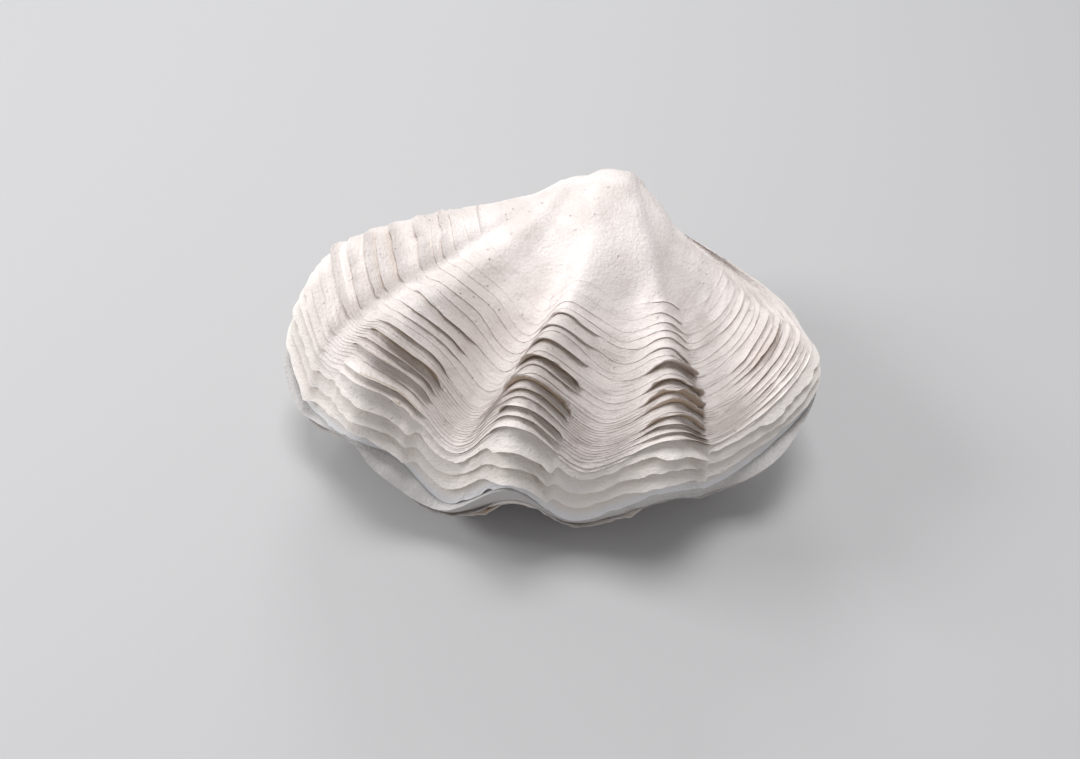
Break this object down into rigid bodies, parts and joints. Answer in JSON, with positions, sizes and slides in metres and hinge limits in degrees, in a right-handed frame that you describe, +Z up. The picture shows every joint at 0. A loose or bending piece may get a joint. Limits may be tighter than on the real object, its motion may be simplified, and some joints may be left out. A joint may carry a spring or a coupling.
{
  "type": "smooth giant clam shell",
  "caption": "Closed giant clam shell with broad wavy folds, stacked lamellae and an interlocking margin, lying on its lower valve.",
  "frame": {"origin": "on the resting plane, under the middle of the shell's bounding box", "axes": "+X along the length, towards the short end; -Y towards the wavy front margin, +Y towards the beaks; +Z up, through the upper valve"},
  "size_m": [0.1096, 0.076, 0.0518],
  "materials": {
    "upper_shell": "matte, chalky, with a satin margin",
    "lower_shell": "matte, chalky, with a satin grey margin"
  },
  "bodies": {
    "root": {"upper_valve": "upper_shell", "lower_valve": "lower_shell"}
  },
  "joints": []
}
